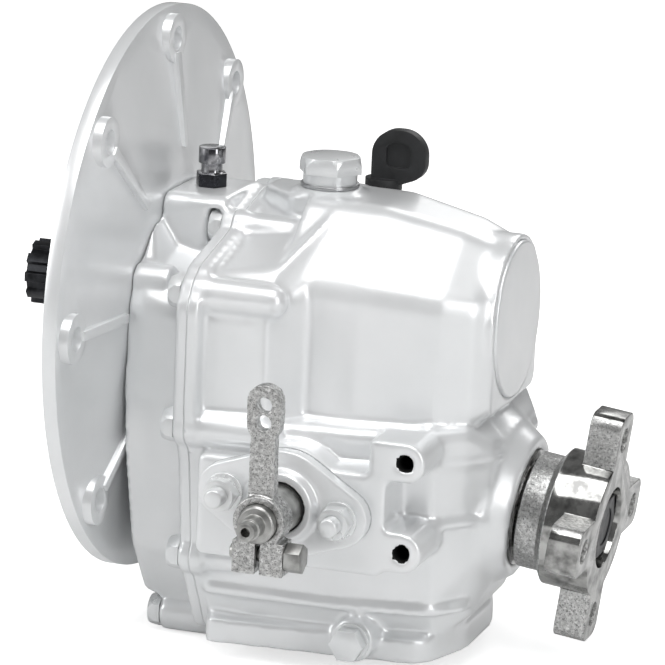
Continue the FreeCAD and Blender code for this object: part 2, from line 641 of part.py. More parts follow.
# joint flange between the castings: the roof falls towards the lever side
def flange_outline(inset=0.0):
    half, top, bottom = g.flange_half - inset, g.flange_top - inset, g.case_bottom - inset
    return [(14, top - 2, 12), (-half + 13, 26 - inset, 14), (-half, 13, 10), (-half, -34, 12),
            (-half + 9, -56, 12), (-half + 16, -104, 14), (-half + 37, -bottom, 12),
            (half - 37, -bottom, 12), (half - 16, -104, 14), (half - 9, -56, 12), (half, -34, 12),
            (half, 13, 12), (half - 22, top - 8, 16)]


bolt_places = ((-20, 33.5), (-67, 15), (-70.5, -41), (-59, -99.5), (-25, -137), (25, -137), (59, -99.5),
               (70.5, -41), (68, 14), (36, 36.5))


def make_front_housing():
    joint = g.seam_x - g.gasket_wall / 2
    back = joint - g.flange_wall
    body = Casting("front_housing")
    nose = nose_outline()
    root = [(across, above if above > -120 else 4 - g.case_bottom, radius)
            for across, above, radius in flange_outline(15)]
    loft(body, "bulge", [(g.hub_x, nose), (g.hub_x + 8, grown(nose, root, 0.7)), (back + 0.5, root)])
    sketch = outline_sketch(body, "flange_outline", flange_outline(), start=back)
    pad(body, "flange", sketch, joint - back)
    cylinder(body, "pilot", "d.pilot_r", g.hub_x - 2, V(2, 0, 0))
    box = [(-24, 20, 0), (24, 20, 0), (24, g.breather_top, 6), (-24, g.breather_top, 6)]
    sketch = outline_sketch(body, "breather_box_outline", box, start=g.hub_x)
    pad(body, "breather_box", sketch, back - g.hub_x + 1)
    for i, (across, above) in enumerate(bolt_places):
        start = back - (20 if above < -120 else 0)
        cylinder(body, "bolt_boss_%d" % i, "d.bolt_boss_r", joint - start, V(start, across, above))
    # hollow inside, with the bearing bosses left standing
    hollow = grown(nose, flange_outline(7), 0.8)
    loft(body, "hollow", [(g.hub_x + 8, shrunk(hollow, 14)), (joint + 1, shrunk(flange_outline(6), 17))], cut=True)
    cylinder(body, "input_boss", "d.front_bearing_r + 6", joint - 8 - g.hub_x, V(g.hub_x, 0, 0))
    start = on_output(-g.output_front_station - 4)
    cylinder(body, "output_boss", "d.output_front_bearing_r + 6", g.output_front_wall + 4, start, output_axis)
    for i, (across, above) in enumerate(screw_places()):
        cylinder(body, "adapter_screw_boss_%d" % i, "d.housing_bolt_r + 4", 16, V(g.hub_x, across, above))
    cylinder(body, "input_bearing_seat", "d.front_bearing_r", g.front_bearing_wall + 40,
             V(g.front_bearing_x, 0, 0), cut=True)
    cylinder(body, "input_passage", "d.input_journal_r + 3", 60, V(-10, 0, 0), cut=True)
    cylinder(body, "input_seal_seat", "d.input_seal_r", g.input_seal_x + g.input_seal_wall + 10,
             V(-10, 0, 0), cut=True)
    cylinder(body, "output_bearing_seat", "d.output_front_bearing_r", 60, on_output(-g.output_front_station),
             output_axis, cut=True)
    for i, (across, above) in enumerate(bolt_places):
        start = back - (20 if above < -120 else 0)
        cylinder(body, "bolt_hole_%d" % i, "d.housing_bolt_r + 0.1", joint - start + 2, V(start - 1, across, above),
                 cut=True)
        cylinder(body, "spot_face_%d" % i, "d.housing_bolt_r + 4.6", 13, V(start - 13, across, above), cut=True)
    for i, (across, above) in enumerate(screw_places()):
        cylinder(body, "adapter_screw_hole_%d" % i, "d.housing_bolt_r + 0.05", 12, V(g.hub_x - 0.5, across, above),
                 cut=True)
    cylinder(body, "breather_hole", 3.05, 30, V(g.breather_x, 0, g.breather_top - 20), up, cut=True)
    return body.finish()


def grown(first, second, share):
    return [tuple(a + (b - a) * share for a, b in zip(one, two)) for one, two in zip(first, second)]


def shrunk(corners, depth):
    # moves every corner towards the middle of the case by about the wall
    middle_z = -45.0
    result = []
    for across, above, radius in corners:
        across = across - math.copysign(1, across) * min(depth, abs(across))
        above = above - math.copysign(1, above - middle_z) * depth
        result.append((across, above, max(radius - 3, 2)))
    return result


def upper_section(top_half, top, side, shoulder, low, radius=12):
    near_half = [(-top_half, top, radius), (-side, shoulder, radius), (-side, low, 6)]
    return mirrored(near_half)


def lower_section(top_half, waist, foot, bottom, top_z=-36, waist_z=-58, foot_z=-112, radius=8):
    near_half = [(-top_half, top_z, 4), (-waist, waist_z, radius), (-foot, foot_z, radius),
                 (-foot + 10, -bottom, radius)]
    return mirrored(near_half)


def make_main_housing():
    joint = g.seam_x + g.gasket_wall / 2
    end = joint + g.flange_wall
    step_end = g.step_x + g.step_run
    half = g.flange_half - 7
    bottom = g.case_bottom - 3
    body = Casting("main_housing")
    sketch = outline_sketch(body, "flange_outline", flange_outline(), start=joint)
    pad(body, "flange", sketch, "d.flange_wall")
    roof = [(12, 44, 12), (-half + 6, 22, 14), (-half, 6, 10), (-half, -44, 6),
            (half, -44, 6), (half, 6, 10), (half - 16, 34, 14)]
    roof_end = [(20, g.upper_top, 14), (-half + 12, 26, 16), (-half + 2, 8, 12), (-half + 4, -42, 6),
                (half - 4, -42, 6), (half - 2, 8, 12), (half - 18, 38, 16)]
    narrow = [(22, g.upper_top, 14), (-26, g.upper_top - 2, 16), (-g.upper_half, 20, 16), (-g.upper_half, -40, 6),
              (g.upper_half, -40, 6), (g.upper_half, 14, 16), (g.upper_half - 8, 36, 14)]
    loft(body, "shoulder", [(end - 1, roof), (g.step_x, roof_end), (step_end, narrow)])
    upper = [
        (step_end - 14, upper_section(22, g.upper_top, g.upper_half, 22, -40, 16)),
        (112, upper_section(21, g.upper_top - 1, g.upper_half, 21, -40, 16)),
        (145, upper_section(17, g.upper_top - 8, g.upper_half - 6, 18, -38, 14)),
        (158, upper_section(14, g.upper_top - 13, g.upper_half - 13, 16, -36, 12)),
        (g.rear_x - 1, upper_section(13, g.cap_z + 31, 33, 15, -32, 10))]
    loft(body, "upper_body", upper)
    lower = [
        (end - 1, lower_section(half, half - 8, half - 14, bottom)),
        (112, lower_section(half - 6, half - 10, half - 15, bottom - 2)),
        (148, lower_section(half - 14, half - 17, half - 22, bottom - 6)),
        (159, lower_section(half - 26, half - 28, half - 34, bottom - 14, foot_z=-98)),
        (167, lower_section(half - 38, half - 38, half - 44, bottom - 32, top_z=-44, waist_z=-60, foot_z=-92))]
    loft(body, "lower_body", lower)
    # rear collar for the input cover, and the output nose
    cylinder(body, "cap_collar", "d.cap_r + 2.5", 14, V(g.rear_x - 14.5, 0, g.cap_z))
    nose_start = g.output_rear_station + 6
    cone(body, g.output_rear_bearing_r + 11, g.output_seal_r + 5,
         g.output_seal_station + g.output_seal_wall - nose_start, on_output(nose_start), output_axis)
    # sump flange round the bottom
    sump = [(end - 1, -half + 14, 4), (146, -half + 22, 14), (156, -20, 14), (156, 20, 14),
            (146, half - 22, 14), (end - 1, half - 14, 4)]
    sketch = outline_sketch(body, "sump_outline", sump, "XY_Plane", start=-g.case_bottom)
    pad(body, "sump_flange", sketch, 11)
    # ledge along the lower wall, and two short ribs round the rear corner
    ledge = [(end - 1, -half + 12.5, 2), (112, -half + 13.5, 20), (148, -half + 20, 16), (160, -half + 34, 8),
             (160, half - 34, 8), (148, half - 20, 16), (112, half - 13.5, 20), (end - 1, half - 12.5, 2)]
    sketch = outline_sketch(body, "ledge_outline", ledge, "XY_Plane", start=-116)
    pad(body, "ledge", sketch, 3.5)
    for above in (-51, -77):
        rib = [(138, -half + 11, 4), (148, -half + 14.5, 12), (161, -half + 28, 10), (169, -half + 40, 4),
               (169, half - 40, 4), (161, half - 28, 10), (148, half - 14.5, 12), (138, half - 11, 4)]
        sketch = outline_sketch(body, "corner_rib_outline", rib, "XY_Plane", start=above)
        pad(body, "corner_rib", sketch, 3)
    # shift pad with the two cable bosses
    shift_pad = [(g.pad_left_x, -g.pad_top_z, 3), (g.pad_right_x, -g.pad_top_z, 3),
                 (g.pad_right_x, -g.pad_bottom_z, 3), (g.pad_left_x, -g.pad_bottom_z, 3)]
    sketch = outline_sketch(body, "shift_pad_outline", shift_pad, "XZ_Plane", start=g.pad_y - 26)
    pad(body, "shift_pad", sketch, 26)
    cylinder(body, "shift_boss", "d.cover_middle_r", 26, V(g.clutch_x, -g.pad_y, -g.shift_shaft_z), V(0, 1, 0))
    for i in range(2):
        above = -g.cable_hole_top_z - i * g.cable_hole_pitch
        cylinder(body, "cable_boss_%d" % i, "d.cable_boss_r", 32, V(g.cable_hole_x, -g.pad_y, above), V(0, 1, 0))
        block(body, "cable_web_%d" % i, V(g.pad_right_x - 8, -g.pad_y, above - g.cable_boss_r),
              (g.cable_hole_x - g.pad_right_x + 8, 24, 2 * g.cable_boss_r))
    for i, (across, above) in enumerate(bolt_places):
        reach = 34 if above > -60 else 21
        cylinder(body, "bolt_lobe_%d" % i, "d.bolt_boss_r", g.flange_wall, V(joint, across, above))
        cone(body, g.bolt_boss_r - 1.6, g.bolt_boss_r - 3, reach, V(joint, across, above))
    # seats of the filler plug and the dipstick
    top_pad = [(joint + 4, 1, 6), (g.filler_x - 12, -14, 10), (g.filler_x + 15, -15, 14),
               (g.filler_x + 15, 15, 14), (g.filler_x - 12, 19, 10), (joint + 4, 18, 6)]
    sketch = outline_sketch(body, "top_pad_outline", top_pad, "XY_Plane", start=30)
    pad(body, "top_pad", sketch, g.filler_seat_z - 32.5)
    cylinder(body, "filler_seat", "d.filler_thread_r + 5.5", 14, V(g.filler_x, 0, g.filler_seat_z - 14), up)
    cylinder(body, "dipstick_boss", 8, 12, V(g.dipstick_x, g.dipstick_y, g.dipstick_seat_z - 12), up)
    cylinder(body, "drain_boss", "d.drain_thread_r + 4.5", 24, V(g.drain_x, -g.drain_seat_y, -g.drain_z), V(0, 1, 0))
    # hollow inside, with the rear bearing bosses left standing
    loft(body, "shoulder_hollow", [
        (joint - 1, shrunk(roof, g.wall + 3.5)),
        (g.step_x, shrunk(roof_end, g.wall + 2)),
        (step_end, shrunk(narrow, g.wall + 1))], cut=True)
    loft(body, "upper_hollow", [
        (step_end - 4, upper_section(14, g.upper_top - g.wall - 1, g.upper_half - g.wall, 15, -52, 10)),
        (112, upper_section(14, g.upper_top - g.wall - 2, g.upper_half - g.wall, 14, -52, 10)),
        (150, upper_section(10, g.upper_top - 15, g.upper_half - 14, 11, -52, 8))], cut=True)
    loft(body, "lower_hollow", [
        (joint - 1, lower_section(half - 10, half - 15, half - 21, bottom - 9, top_z=-45)),
        (112, lower_section(half - 13, half - 17, half - 22, bottom - 9, top_z=-45)),
        (146, lower_section(half - 22, half - 25, half - 30, bottom - 13, top_z=-46))], cut=True)
    cylinder(body, "input_boss", "d.rear_bearing_r + 6", g.rear_x - g.rear_bearing_x - 2, V(g.rear_bearing_x, 0, 0))
    cylinder(body, "output_boss", "d.output_rear_bearing_r + 6", g.output_rear_wall,
             on_output(g.output_rear_station), output_axis)
    cylinder(body, "idler_boss", "d.idler_pin_r + 6", 20, V(reverse_x1 + 3, idler_y, idler_z))
    cylinder(body, "idler_seat", "d.idler_pin_r", 24, V(reverse_x1 - 4, idler_y, idler_z), cut=True)
    cylinder(body, "input_bearing_seat", "d.rear_bearing_r", g.bearing_wall + 1.5,
             V(g.rear_bearing_x, 0, 0), cut=True)
    cylinder(body, "cap_seat", "d.cap_r", 20, V(g.rear_x - g.cap_wall, 0, g.cap_z), cut=True)
    cylinder(body, "output_bearing_seat", "d.output_rear_bearing_r", g.output_rear_wall + 0.5,
             on_output(g.output_rear_station), output_axis, cut=True)
    cylinder(body, "output_clearance", g.output_rear_bearing_r - 3, g.output_rear_station - g.gear_near,
             on_output(g.gear_near + 0.5), output_axis, cut=True)
    cylinder(body, "output_seal_seat", "d.output_seal_r", 30, on_output(g.output_seal_station), output_axis, cut=True)
    cylinder(body, "output_passage", "d.hub_neck_r + 2", 60, on_output(g.output_rear_station), output_axis, cut=True)
    for i, (across, above) in enumerate(bolt_places):
        cylinder(body, "bolt_hole_%d" % i, "d.housing_bolt_r + 0.05", 17.6, V(joint - 1, across, above), cut=True)
    cylinder(body, "shift_bore", "d.shift_bore_r", 40, V(g.clutch_x, -g.pad_y - 1, -g.shift_shaft_z), V(0, 1, 0),
             cut=True)
    for i in range(2):
        above = -g.cable_hole_top_z - i * g.cable_hole_pitch
        cylinder(body, "cable_hole_%d" % i, "d.cable_hole_r", g.cable_hole_depth, V(g.cable_hole_x, -g.pad_y, above),
                 V(0, 1, 0), cut=True)
    for i, place in enumerate(stud_places()):
        cylinder(body, "stud_hole_%d" % i, "d.housing_bolt_r + 0.05", 16, V(place.x, -g.pad_y, place.z), V(0, 1, 0),
                 cut=True)
    cylinder(body, "filler_hole", "d.filler_thread_r", 40, V(g.filler_x, 0, g.filler_seat_z - 30), up, cut=True)
    cylinder(body, "dipstick_spot_face", 9, 10, V(g.dipstick_x, g.dipstick_y, g.dipstick_seat_z), up, cut=True)
    cylinder(body, "dipstick_hole", 4.5, 40, V(g.dipstick_x, g.dipstick_y, g.dipstick_seat_z - 30), up, cut=True)
    cylinder(body, "drain_hole", "d.drain_thread_r", 40, V(g.drain_x, -half - 6, -g.drain_z), V(0, 1, 0), cut=True)
    cylinder(body, "drain_face", 12, 20, V(g.drain_x, -g.drain_seat_y - 20, -g.drain_z), V(0, 1, 0), cut=True)
    return body.finish()


def stud_places():
    return [V(g.clutch_x, 0, -g.shift_shaft_z) + output_axis * side * g.cover_stud_half for side in (-1, 1)]


def make_gasket():
    start = g.seam_x - g.gasket_wall / 2
    plate = Casting("housing_gasket")
    pad(plate, "sheet", plate.face(flange_outline(0.3), "YZ_Plane", start), "d.gasket_wall")
    pad(plate, "window", plate.face(shrunk(flange_outline(6), 7), "YZ_Plane", start - 1), 4, cut=True)
    for across, above in bolt_places:
        cylinder(plate, "hole", "d.housing_bolt_r + 0.1", 4, V(start - 1, across, above), cut=True)
    plate.finish()


def make_housing_bolts():
    back = g.seam_x - g.gasket_wall / 2 - g.flange_wall
    solids = []
    for across, above in bolt_places:
        start = back - (20 if above < -120 else 0)
        head = hexagon_prism(13, 5.5, V(start - 5.5, across, above), aft)
        head = head.common(Part.makeCone(6.4, 8.5, 5.5, V(start - 5.5, across, above), aft))
        length = g.seam_x + 16 - start
        solids.append(head.fuse(Part.makeCylinder(g.housing_bolt_r, length, V(start, across, above), aft)))
    group("housing_bolts", solids)


def make_rear_cap():
    start = "d.rear_x - d.cap_wall + 0.05"
    turned("rear_cap", [(start, 0), (start, "d.cap_r - d.fit_gap"), ("d.rear_x - 0.6", "d.cap_r - d.fit_gap"),
                        ("d.rear_x", "d.cap_r - 0.8"), ("d.rear_x", 0)],
           FreeCAD.Placement(V(0, 0, g.cap_z), FreeCAD.Rotation()))


def make_shift_cover():
    # rhombic cover whose long axis lies along the tilted output shaft
    pad_face = -g.pad_y
    spread = math.acos((g.cover_middle_r - g.cover_end_r) / g.cover_stud_half)
    long_tip = g.cover_middle_r / math.cos(spread)
    short_tip = g.cover_middle_r / math.sin(spread)
    outline = [(long_tip, 0, g.cover_end_r), (0, short_tip, g.cover_middle_r), (-long_tip, 0, g.cover_end_r),
               (0, -short_tip, g.cover_middle_r)]
    place = FreeCAD.Placement(V(g.clutch_x, 0, -g.shift_shaft_z), tilt)
    cover = Casting("shift_cover")
    gasket = Casting("shift_cover_gasket")
    pad(gasket, "sheet", gasket.face(outline, "XZ_Plane", g.pad_y), 0.5)
    cylinder(gasket, "window", "d.shift_bore_r", 6, V(0, pad_face + 2, 0), near, cut=True)
    pad(cover, "flange", cover.face(outline, "XZ_Plane", g.pad_y + 0.5), "d.cover_wall")
    cone(cover, g.cover_middle_r - 6.5, g.lever_hub_r + 3, 4.5, V(0, pad_face - g.cover_wall, 0), near)
    cylinder(cover, "spigot", g.shift_bore_r - g.fit_gap, 18, V(0, pad_face + 17, 0), near)
    cylinder(cover, "shaft_bore", "d.shift_shaft_r + d.fit_gap", 60, V(0, pad_face + 30, 0), near, cut=True)
    cylinder(cover, "seal_seat", "d.lever_hub_r", 10, V(0, pad_face - g.cover_wall, 0), near, cut=True)
    for side in (-1, 1):
        centre = V(side * g.cover_stud_half, pad_face + 5, 0)
        cylinder(cover, "stud_hole", "d.housing_bolt_r + 0.2", 30, centre, near, cut=True)
        cylinder(gasket, "stud_hole", "d.housing_bolt_r + 0.2", 30, centre, near, cut=True)
    for casting in (cover, gasket):
        casting.finish().Placement = place
    seal_start = pad_face - g.cover_wall
    seal = Part.makeCylinder(g.lever_hub_r - 0.02, 4, V(0, seal_start, 0), near).cut(
        Part.makeCylinder(g.shift_shaft_r + g.fit_gap, 6, V(0, seal_start + 1, 0), near))
    group("shift_shaft_seal", [seal]).Placement = place


def make_cover_fasteners():
    cover_face = -g.pad_y - 0.5 - g.cover_wall
    studs, washers, nuts = [], [], []
    for place in stud_places():
        def at(distance):
            return V(place.x, distance, place.z)
        studs.append(Part.makeCylinder(g.housing_bolt_r, 14.5 + 8 + 14, at(-g.pad_y + 14.5), near))
        washers.append(Part.makeCylinder(8, 1.6, at(cover_face), near).cut(
            Part.makeCylinder(g.housing_bolt_r + 0.2, 4, at(cover_face + 1), near)))
        nut = hexagon_prism(13, 7, at(cover_face - 1.6), near)
        nut = nut.common(Part.makeCone(8.6, 6.5, 7, at(cover_face - 1.6), near))
        nuts.append(nut.cut(Part.makeCylinder(g.housing_bolt_r + g.fit_gap, 20, at(cover_face + 5), near)))
    group("shift_cover_studs", studs)
    group("shift_cover_washers", washers)
    group("shift_cover_nuts", nuts)


def make_shift_shaft():
    # turned shaft with an eccentric pin at its inner end and a stub at its outer end
    outer = -g.lever_front_y - 3

    def at(distance):
        return V(0, distance, 0)

    shaft = Part.makeCylinder(g.shift_shaft_r, -outer - g.shift_shaft_inner_y, at(-g.shift_shaft_inner_y), near)
    shaft = shaft.fuse(Part.makeCone(g.shift_shaft_r, g.shift_shaft_r - 1, 1, at(outer), near))
    shaft = shaft.fuse(Part.makeCylinder(4.6, 8, at(outer), near))
    shaft = shaft.fuse(Part.makeCylinder(3.9, 12.5, at(outer), near))
    shaft = shaft.cut(Part.makeCylinder(1.9, 8, at(outer - 6), near))
    pin = V(g.eccentric * math.sin(slope + pin_lean), -g.shift_shaft_inner_y + 8,
            g.eccentric * math.cos(slope + pin_lean))
    shaft = shaft.fuse(Part.makeCylinder(g.pin_r, 8.5, pin, near))
    group("shift_shaft", [shaft]).Placement = FreeCAD.Placement(V(g.clutch_x, 0, -g.shift_shaft_z),
                                                                FreeCAD.Rotation())


def make_shift_shoe():
    # block in the sleeve groove, slotted for the eccentric pin, in the frame of the output axis
    half = g.sleeve_groove_half - 0.15
    inner = g.sleeve_groove_r + 0.5
    rise = shaft_above * math.cos(slope) + g.eccentric * math.cos(pin_lean)
    shoe = Part.makeBox(2 * half, 8.5, 24, V(-half, -inner - 8.5, rise - 13))
    slot = Part.makeBox(2 * (g.pin_r + 0.12), 12, 11, V(-g.pin_r - 0.12, -inner - 10, rise - 6))
    group("shift_shoe", [shoe.cut(slot)]).Placement = output_frame


def make_lever():
    # forged lever: clamp ring, stem and a two-hole tip, all in a plane square to the shift shaft
    front = -g.lever_front_y
    back = front + g.lever_hub_wall
    plate_back = front + 2 + g.lever_plate_wall
    lever = Casting("shift_lever")
    cylinder(lever, "hub", "d.lever_hub_r", "d.lever_hub_wall", V(0, back, 0), near)
    stem = [(-5.7, 6, 0), (5.7, 6, 0), (5.2, g.lever_reach - 18, 0), (-5.2, g.lever_reach - 18, 0)]
    pad(lever, "stem", lever.face(stem, "XZ_Plane", -plate_back), "d.lever_plate_wall")
    tip_low = g.lever_reach - 23.5
    tip = [(-7.3, tip_low, 7), (7.3, tip_low, 7), (7.3, g.lever_reach, 7), (-7.3, g.lever_reach, 7)]
    pad(lever, "tip", lever.face(tip, "XZ_Plane", -plate_back), "d.lever_plate_wall")
    block(lever, "clamp", V(-11, front, -22), (22, g.lever_hub_wall, 14))
    cylinder(lever, "bore", "d.shift_shaft_r + 0.02", 40, V(0, back + 10, 0), near, cut=True)
    block(lever, "slit", V(-0.9, front - 2, -30), (1.8, g.lever_hub_wall + 4, 28), cut=True)
    cylinder(lever, "clamp_bolt_hole", "d.pin_r + 0.05", 40, V(-20, (front + back) / 2, -14.5), aft, cut=True)
    for i in range(2):
        cylinder(lever, "tip_hole_%d" % i, "d.lever_hole_r", 30,
                 V(0, back + 10, g.lever_hole_far - i * g.lever_hole_pitch), near, cut=True)
    place = FreeCAD.Placement(V(g.clutch_x, 0, -g.shift_shaft_z), FreeCAD.Rotation())
    lever.finish().Placement = place
    middle = V(11, (front + back) / 2, -14.5)
    bolt = hexagon_prism(11, 7, middle, aft).fuse(Part.makeCylinder(g.pin_r, 24, middle - aft * 24, aft))
    group("lever_clamp_bolt", [bolt]).Placement = place


def make_fittings():
    seat = V(g.breather_x, 0, g.breather_top)
    breather = hexagon_prism(12, 6, seat, up).fuse(Part.makeCylinder(3, 10, seat - up * 10, up))
    breather = breather.fuse(Part.makeCylinder(4.6, 4, seat + up * 6, up))
    breather = breather.fuse(Part.makeCylinder(5.8, 7, seat + up * 10, up))
    group("breather_screw", [breather])
    seat = V(g.filler_x, 0, g.filler_seat_z)
    washer = Part.makeCylinder(12.5, 1.5, seat, up).cut(Part.makeCylinder(g.filler_thread_r + 0.2, 4, seat - up, up))
    group("filler_washer", [washer])
    plug = Part.makeCylinder(11.5, 4.5, seat + up * 1.5, up)
    plug = plug.fuse(hexagon_prism(24, 7, seat + up * 6, up).common(Part.makeCone(15, 12.3, 7, seat + up * 6, up)))
    plug = plug.fuse(Part.makeCylinder(g.filler_thread_r - 0.02, 15, seat - up * 13, up))
    group("filler_plug", [plug])
    seat = V(g.drain_x, -g.drain_seat_y, -g.drain_z)
    washer = Part.makeCylinder(8, 1.5, seat, near).cut(
        Part.makeCylinder(g.drain_thread_r + 0.2, 4, seat - near, near))
    group("drain_washer", [washer])
    plug = hexagon_prism(13, 6.5, seat + near * 1.5, near)
    plug = plug.fuse(Part.makeCylinder(g.drain_thread_r - 0.02, 9.5, seat - near * 8, near))
    group("drain_plug", [plug])


def make_dipstick():
    # flat ring handle with a blind recess, on a plug with the measuring rod below
    seat = V(g.dipstick_x, g.dipstick_y, g.dipstick_seat_z)
    handle = Casting("dipstick")
    cylinder(handle, "plug", 4.4, 12, seat - up * 12, up)
    cylinder(handle, "collar", 8, 5, seat, up)
    cylinder(handle, "rod", "d.dipstick_rod_r", g.dipstick_seat_z + g.dipstick_tip_z - 8, seat - up *
             (g.dipstick_seat_z + g.dipstick_tip_z), up)
    across = g.dipstick_x + 6.5
    ring_plate = [(g.dipstick_x - 5, g.dipstick_seat_z + 3, 0), (across + 2, g.dipstick_seat_z + 3, 3),
                  (across + 12.5, g.dipstick_seat_z + 7, 8), (across + 12.5, g.dipstick_seat_z + 26.5, 11),
                  (g.dipstick_x - 5, g.dipstick_seat_z + 26.5, 11)]
    pad(handle, "ring", handle.face(ring_plate, "XZ_Plane", -g.dipstick_y - 3), 6)
    recess = [(across - 5, g.dipstick_seat_z + 10, 3), (across + 6, g.dipstick_seat_z + 10, 3),
              (across + 6, g.dipstick_seat_z + 21, 4), (across - 5, g.dipstick_seat_z + 21, 4)]
    pad(handle, "recess", handle.face(recess, "XZ_Plane", -g.dipstick_y + 1), 4, cut=True)
    handle.finish()


make_input_shaft()
make_forward_gear()
make_reverse_gear()
make_bushes()
make_idler()
make_output_shaft()
make_clutch_sleeve()
make_bearings()
make_seals()
make_coupling()
make_adapter()
make_adapter_bolts()
make_front_housing()
make_main_housing()
make_gasket()
make_housing_bolts()
make_rear_cap()
make_shift_cover()
make_cover_fasteners()
make_shift_shaft()
make_shift_shoe()
make_lever()
make_fittings()
make_dipstick()

doc.recompute()
failed = [item.Name for item in doc.Objects if "Invalid" in item.State or "Error" in item.State]
for item in parts:
    if item.Shape.isNull() or not item.Shape.isValid() or not item.Shape.Solids:
        failed.append("shape of " + item.Label)
if failed:
    raise SystemExit("failed: " + ", ".join(failed))
os.makedirs("parts", exist_ok=True)
for item in parts:
    item.Shape.exportStep(os.path.join("parts", item.Label + ".step"))
    print(item.Label, len(item.Shape.Solids), round(item.Shape.Volume / 1000, 1))
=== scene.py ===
import json
import math

import bmesh
import bpy
from mathutils import Matrix, Vector, noise

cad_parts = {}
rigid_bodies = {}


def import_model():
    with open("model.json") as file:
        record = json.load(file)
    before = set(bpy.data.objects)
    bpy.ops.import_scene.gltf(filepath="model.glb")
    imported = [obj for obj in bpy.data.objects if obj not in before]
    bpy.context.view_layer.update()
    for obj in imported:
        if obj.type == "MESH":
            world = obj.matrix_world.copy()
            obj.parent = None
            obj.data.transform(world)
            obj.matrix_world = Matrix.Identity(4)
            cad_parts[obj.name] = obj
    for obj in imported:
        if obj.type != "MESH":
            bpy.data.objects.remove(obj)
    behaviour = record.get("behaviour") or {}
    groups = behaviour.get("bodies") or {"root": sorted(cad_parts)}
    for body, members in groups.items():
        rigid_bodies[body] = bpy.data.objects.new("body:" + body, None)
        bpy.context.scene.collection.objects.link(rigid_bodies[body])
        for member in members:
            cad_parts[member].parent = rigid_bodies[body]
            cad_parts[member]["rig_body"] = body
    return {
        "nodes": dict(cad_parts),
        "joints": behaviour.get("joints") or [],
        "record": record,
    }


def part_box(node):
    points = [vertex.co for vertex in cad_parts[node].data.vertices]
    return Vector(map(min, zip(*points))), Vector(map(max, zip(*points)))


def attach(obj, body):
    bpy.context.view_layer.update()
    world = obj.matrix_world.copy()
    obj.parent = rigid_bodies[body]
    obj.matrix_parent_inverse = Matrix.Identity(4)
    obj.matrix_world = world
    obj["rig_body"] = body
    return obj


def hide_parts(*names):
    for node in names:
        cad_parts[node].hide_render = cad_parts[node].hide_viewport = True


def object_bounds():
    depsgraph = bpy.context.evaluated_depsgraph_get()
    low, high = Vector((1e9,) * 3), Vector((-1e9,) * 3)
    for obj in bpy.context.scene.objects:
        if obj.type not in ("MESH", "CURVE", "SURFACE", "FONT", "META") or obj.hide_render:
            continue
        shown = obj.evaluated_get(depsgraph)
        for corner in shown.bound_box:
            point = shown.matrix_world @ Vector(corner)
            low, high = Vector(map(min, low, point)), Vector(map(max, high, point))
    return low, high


# Marine gearbox, dressed round its CAD nodes. Metres, +X aft, -Y the lever's side, +Z up.
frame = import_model()
nodes = frame["nodes"]
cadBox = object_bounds()
scene = bpy.context.scene
print("frame loaded,", len(nodes), "nodes")

joints = {joint["name"]: joint for joint in frame["joints"]}
outputCentre = Vector(joints["output_spin"]["pos_m"])  # middle of the clutch, on the output shaft
outputAxis = Vector(joints["output_spin"]["axis"]).normalized()
millimetre = 0.001
smoothBelow = math.radians(35)  # edges flatter than this are shaded smooth


# small helpers for materials

def hexColour(code):
    # sRGB hex to linear
    parts = [int(code[i:i + 2], 16) / 255 for i in (0, 2, 4)]
    return [c / 12.92 if c <= 0.04045 else ((c + 0.055) / 1.055) ** 2.4 for c in parts] + [1]


def addNode(material, kind, inputs=None, stops=(), **settings):
    # one node with its settings and links: an input takes a value or another node's output,
    # and a stop of a colour ramp takes a hex colour or a plain number
    node = material.node_tree.nodes.new("ShaderNode" + kind)
    for name, value in settings.items():
        setattr(node, name, value)
    for name, value in (inputs or {}).items():
        if isinstance(value, bpy.types.NodeSocket):
            material.node_tree.links.new(value, node.inputs[name])
        else:
            node.inputs[name].default_value = value
    if stops:
        elements = node.color_ramp.elements
        while len(elements) < len(stops):
            elements.new(0.5)
        for element, (place, tone) in zip(elements, stops):
            element.position = place
            element.color = hexColour(tone) if isinstance(tone, str) else (tone, tone, tone, 1)
    return node


def newMaterial(name, surface, sizes=()):
    # principled shader with its constants on its own sockets, and the noise that the finish is made
    # from, on the piece's own coordinates: each of a size in mm and a detail
    material = bpy.data.materials.new(name)
    material.use_nodes = True
    shader = material.node_tree.nodes["Principled BSDF"]
    for key, value in surface.items():
        shader.inputs[key].default_value = value
    patterns = []
    for size, detail in sizes:
        place = addNode(material, "TexCoord").outputs["Object"]
        pattern = addNode(material, "TexNoise", {"Vector": place, "Scale": 1 / (size * millimetre),
                                                 "Detail": detail})
        patterns.append(pattern.outputs["Fac"])
    return material, shader, patterns


def dress(material, shader, tone, rough, height, depth, strength):
    # links for base colour and roughness, and a bump whose full height is depth mm
    bump = addNode(material, "Bump", {"Height": height, "Distance": depth * millimetre,
                                      "Strength": strength})
    for key, socket in (("Base Color", tone), ("Roughness", rough), ("Normal", bump.outputs["Normal"])):
        material.node_tree.links.new(socket, shader.inputs[key])


# materials, each named for the finish it stands for; the one for the tapped holes is painted shade

def glossPaintedCasting(name, dark, light, rough):
    # two-pack silver-white paint on cast aluminium: smooth gloss over a faint cast grain
    material, shader, (patches, sheen, grain, waves) = newMaterial(
        name, {"Metallic": 0.4, "IOR": 1.5, "Coat Weight": 0.5, "Coat Roughness": 0.2},
        ((45, 4), (14, 3), (0.8, 2), (12, 1)))
    tone = addNode(material, "ValToRGB", {"Fac": patches}, [(0.3, dark), (0.7, light)])
    gloss = addNode(material, "ValToRGB", {"Fac": sheen}, [(0.3, rough - 0.04), (0.75, rough + 0.05)])
    # the slow waves are what a hand-rubbed pattern leaves
    height = addNode(material, "Math", {0: waves, 1: 5.0, 2: grain}, operation="MULTIPLY_ADD")
    dress(material, shader, tone.outputs["Color"], gloss.outputs["Color"], height.outputs[0], 0.02, 0.4)
    return material


